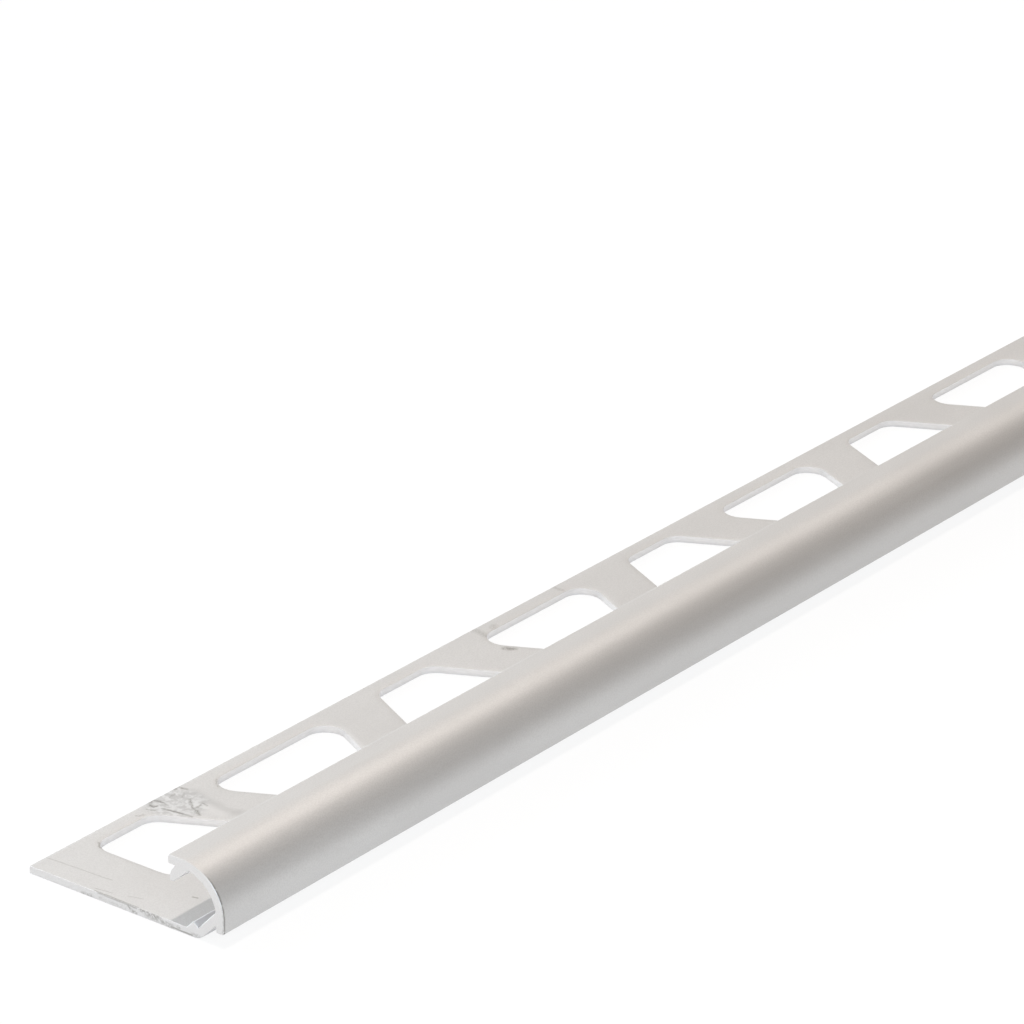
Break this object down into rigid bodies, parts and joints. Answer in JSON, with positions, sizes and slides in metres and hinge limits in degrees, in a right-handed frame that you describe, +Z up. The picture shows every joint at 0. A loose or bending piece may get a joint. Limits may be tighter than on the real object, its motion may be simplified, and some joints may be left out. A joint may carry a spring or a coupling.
{
  "type": "quarter-round tile edge trim",
  "caption": "Quarter-round aluminium edge trim for tiles, with a flat leg punched with alternating trapezoids, a lip for the tile and a channel for connectors.",
  "frame": {"origin": "middle of the bar's length and width, on the underside of the leg", "axes": "+X along the bar, +Y from the round wall towards the leg's free edge, +Z up out of the leg"},
  "size_m": [1, 0.0312, 0.01],
  "materials": {
    "aluminium": "satin mill finish, bright sawn ends"
  },
  "bodies": {
    "root": {"edge_trim": "aluminium"}
  },
  "joints": []
}
